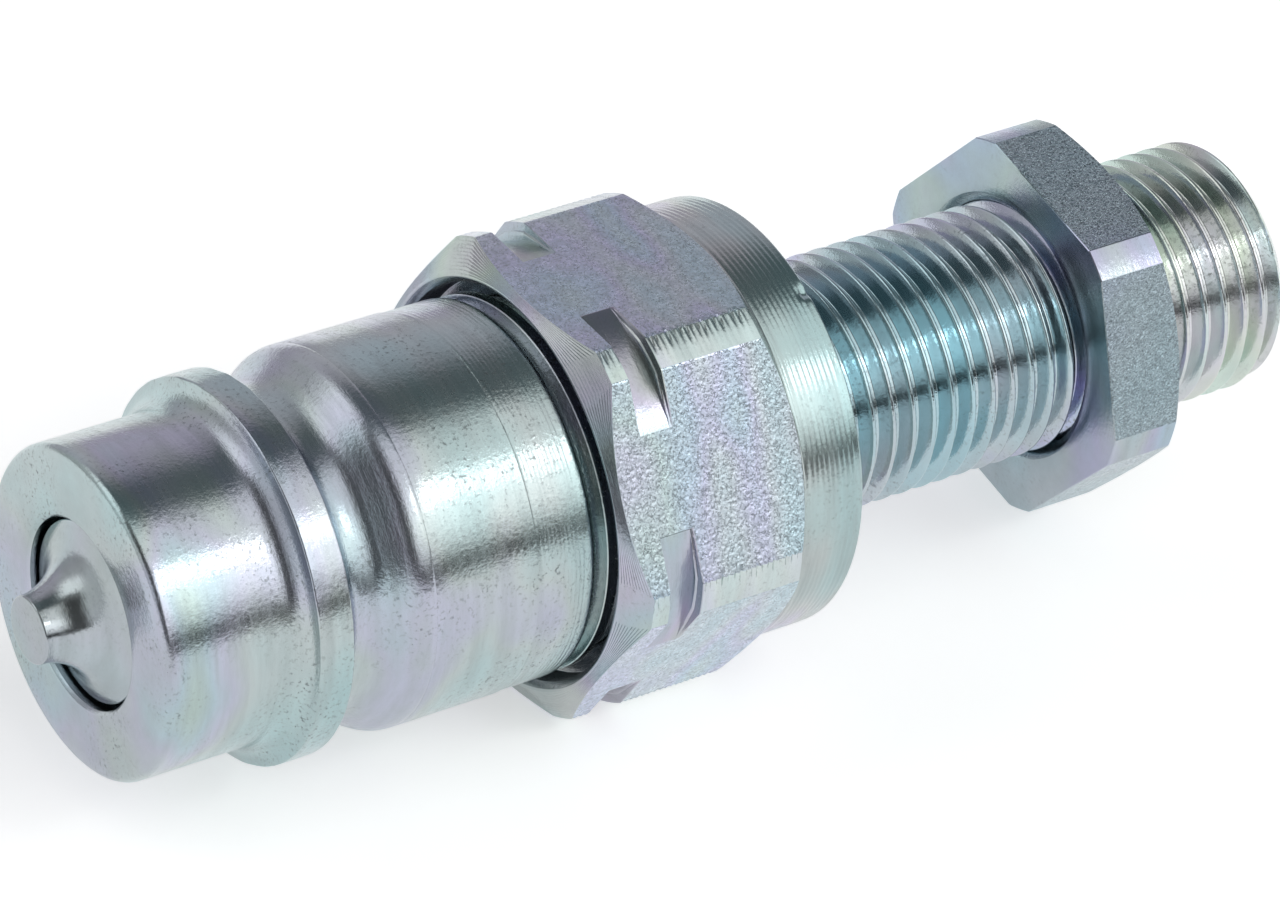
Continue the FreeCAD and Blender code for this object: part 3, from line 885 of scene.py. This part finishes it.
class COUPLING_OT_nut(Operator):
    """Lock nut with bright corners, grained flats and a countersunk bore"""
    bl_idname = "coupling.nut"
    bl_label = "Lock nut"

    def execute(self, context):
        base, rough, film = finish_values()
        face = zinc("turned nut plate", shade(base, 0.93, 0.98, 1.05), rough, 1.1, 4.0, tint=film,
                    seed=0.17, specks=0.3)
        # The grained flats carry pits with painted shade and painted highlights in their colour.
        grain = zinc("grained nut flat", shade(base, 0.84, 0.95, 1.04), rough + 0.04, 0.0, 3.0,
                     peel=0.9, peel_scale=5200.0, tint=film * 0.4, seed=0.19, specks=0.3)
        edge = flat_edge(NUT_FLAT, NUT_CORNER)
        keys = [0, edge * 0.35, edge * 0.7, edge - 0.25, edge, edge + 0.25, edge + 1.5, edge + 3.5,
                11, 13.5, 16, 18.5, 21, 24, 27, 30]
        rows = Rows(sector_angles(keys, NUT_TURN))
        off = corner_offset(rows.theta, NUT_TURN)
        body = np.minimum(flat_radius(NUT_FLAT, off), NUT_CORNER)
        on_flat = off > edge + 0.05
        rows.add(NUT_X0 + NUT_SINK_DEPTH, NUT_BORE, 0)
        rows.add(NUT_X0 + 0.02, NUT_SINK - NUT_EDGE, 0)
        rows.add(NUT_X0, NUT_SINK, 0)
        for s in (0.25, 0.5, 0.75, 0.985):
            rows.add(NUT_X0, NUT_SINK + (body - NUT_SINK) * s, 0)
        front_x = NUT_X0 + NUT_EDGE
        rear_x = NUT_X1 - (body - NUT_FACE_R) * CONE_SLOPE
        for s in (0, *np.linspace(0.1, 1, 8)):
            rows.add(front_x + (rear_x - front_x) * s, body, on_flat)
        for s in np.linspace(0.2, 1, 5):
            rows.add(rear_x + (NUT_X1 - rear_x) * s, body + (NUT_FACE_R - body) * s, 0)
        for s in (0.4, 0.97):
            rows.add(NUT_X1, NUT_FACE_R + (NUT_SINK - NUT_FACE_R) * s, 0)
        rows.add(NUT_X1 - NUT_SINK_DEPTH, NUT_BORE, 0)
        for start in NUT_X1 - 0.9 - NUT_GROOVE_STEP * np.arange(4):
            for dx, r in ((0, NUT_BORE), (-0.3, NUT_GROOVE), (-0.36, NUT_GROOVE), (-0.66, NUT_BORE)):
                rows.add(start + dx, r, 0)
        x, r, theta, zone = rows.grids()
        obj = tube_mesh("nut_shell", x, r, theta, [face, grain], zone)
        ship(obj, "nut", "zinc_nut", "lock_nut")
        return {"FINISHED"}


class COUPLING_OT_inside(Operator):
    """Finishes of the pieces that stay inside"""
    bl_idname = "coupling.inside"
    bl_label = "Inner pieces"

    def execute(self, context):
        for name, finish in INNER_FINISHES.items():
            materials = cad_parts[name].data.materials
            materials.clear()
            materials.append(plain_finish(*finish))
        return {"FINISHED"}


class COUPLING_OT_spring(Operator):
    """Valve spring, copied with a wire finish"""
    bl_idname = "coupling.spring"
    bl_label = "Valve spring"

    def execute(self, context):
        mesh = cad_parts["valve_spring"].data.copy()
        mesh.materials.clear()
        mesh.materials.append(plain_finish(*WIRE_FINISH))
        bm = bmesh.new()
        bm.from_mesh(mesh)
        bmesh.ops.remove_doubles(bm, verts=bm.verts, dist=MERGE_DISTANCE)
        bm.to_mesh(mesh)
        bm.free()
        obj = linked("spring_coil", mesh)
        ship(obj, "valve", "spring_steel", "valve_spring")
        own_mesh(obj)
        return {"FINISHED"}


class COUPLING_OT_stage(Operator):
    """Camera, floor, lamp and room light"""
    bl_idname = "coupling.stage"
    bl_label = "Stage"

    def execute(self, context):
        s = context.scene.coupling_stage
        self.add_camera(s)
        self.add_floor(s.floor_glow)
        self.add_key_lamp(s.key)
        self.add_room()
        context.scene.view_settings.view_transform = "Standard"
        return {"FINISHED"}

    def add_camera(self, s):
        a, e, roll = s.azimuth, s.elevation, s.roll
        back = np.array([math.sin(a) * math.cos(e), -math.cos(a) * math.cos(e), math.sin(e)])
        level = np.array([math.cos(a), math.sin(a), 0.0])
        right = math.cos(roll) * level + math.sin(roll) * np.cross(back, level)
        cam_data = bpy.data.cameras.new("photo_camera")
        cam_data.sensor_width = SENSOR_WIDTH
        cam_data.lens = s.lens
        cam_data.clip_start = 0.01
        cam_data.clip_end = 20
        cam = linked("photo_camera", cam_data)
        m = np.eye(4)
        m[:3, 0], m[:3, 1], m[:3, 2], m[:3, 3] = right, np.cross(back, right), back, CAMERA_PLACE
        cam.matrix_world = Matrix(m.tolist())
        bpy.context.scene.camera = cam

    def add_floor(self, strength):
        size, z = FLOOR_HALF, START_BOX[0][2] - FLOOR_GAP
        mesh = bpy.data.meshes.new("floor")
        mesh.from_pydata([(-size, -size, z), (size, -size, z), (size, size, z), (-size, size, z)],
                         [], [(0, 1, 2, 3)])
        floor = linked("floor", mesh)
        m, t, bsdf = start_material("pale floor")
        bsdf.inputs["Base Color"].default_value = (0.93, 0.93, 0.93, 1)
        bsdf.inputs["Roughness"].default_value = 0.9
        bsdf.inputs["Emission Color"].default_value = (1, 1, 1, 1)
        rays = t.nodes.new("ShaderNodeLightPath").outputs
        seen = math_node(t, "ADD", math_node(t, "ADD", rays["Is Camera Ray"], rays["Is Glossy Ray"]),
                         rays["Is Transmission Ray"])
        glow = math_node(t, "MULTIPLY", math_node(t, "MINIMUM", seen, 1.0), strength)
        t.links.new(glow, bsdf.inputs["Emission Strength"])
        mesh.materials.append(m)

    def add_key_lamp(self, energy):
        lamp = bpy.data.lights.new("key_lamp", "AREA")
        lamp.shape = "RECTANGLE"
        lamp.size, lamp.size_y = KEY_SIZE
        lamp.energy = energy
        obj = linked("key_lamp", lamp)
        obj.location = KEY_PLACE
        ray = Vector(KEY_AIM) - Vector(KEY_PLACE)
        obj.rotation_euler = ray.to_track_quat("-Z", "Y").to_euler()

    def add_room(self):
        """World light: one ramp round X, another for directions towards the nose's side, and an
        even tone straight ahead of the nose."""
        world = bpy.data.worlds.new("soft room")
        bpy.context.scene.world = world
        world.use_nodes = True
        t = world.node_tree
        bg = next(n for n in t.nodes if n.type == "BACKGROUND")
        x, y, z = coordinates(t, "Generated")[1]

        def room_tint(deg, v):
            if deg > 125:
                return v, v * 0.95, v * 1.05
            return (v * 0.86, v * 1.03, v * 1.09) if deg > 88 else (v, v * 1.01, v)

        turn = math_node(t, "ARCTAN2", z, math_node(t, "MULTIPLY", y, -1.0))
        share = map_range(t, turn, -math.pi, math.pi, 0, 1)
        room = ramp(t, share, [((deg + 180) / 360, room_tint(deg, v)) for deg, v in ROOM_LIGHT])
        nose_side = ramp(t, share, [((deg + 180) / 360, (v, v * 1.01, v * 1.02))
                                    for deg, v in NOSE_SIDE_LIGHT])
        room = mix_colour(t, map_range(t, x, -0.16, -0.40, 0.0, 1.0), room, nose_side)
        room = mix_colour(t, map_range(t, x, -0.74, -0.88, 0.0, 1.0), room, AHEAD_COLOUR)
        t.links.new(room, bg.inputs[0])
        bg.inputs[1].default_value = 1.0


class COUPLING_PT_panel(Panel):
    bl_idname = "COUPLING_PT_panel"
    bl_label = "Coupling"
    bl_space_type = "VIEW_3D"
    bl_region_type = "UI"
    bl_category = "Coupling"

    def draw(self, context):
        for op in PIECES:
            self.layout.operator(op.bl_idname)
        for key, cls in SETTINGS.items():
            for prop in cls.__annotations__:
                self.layout.prop(getattr(context.scene, key), prop)


SETTINGS = {
    "coupling_body": CouplingBodySettings,
    "coupling_thread": CouplingThreadSettings,
    "coupling_stage": CouplingStageSettings,
}
PIECES = (COUPLING_OT_nose, COUPLING_OT_poppet, COUPLING_OT_hexagon, COUPLING_OT_thread,
          COUPLING_OT_nut, COUPLING_OT_inside, COUPLING_OT_spring, COUPLING_OT_stage)


def register():
    for cls in (*SETTINGS.values(), *PIECES, COUPLING_PT_panel):
        bpy.utils.register_class(cls)
    for key, cls in SETTINGS.items():
        setattr(bpy.types.Scene, key, PointerProperty(type=cls))


def unregister():
    for key in SETTINGS:
        delattr(bpy.types.Scene, key)
    for cls in reversed((*SETTINGS.values(), *PIECES, COUPLING_PT_panel)):
        bpy.utils.unregister_class(cls)


def main():
    register()
    bpy.ops.coupling.nose()
    bpy.ops.coupling.poppet()
    bpy.ops.coupling.hexagon()
    bpy.ops.coupling.thread()
    bpy.ops.coupling.nut()
    bpy.ops.coupling.inside()
    bpy.ops.coupling.spring()
    bpy.ops.coupling.stage()


if __name__ == "__main__":
    main()
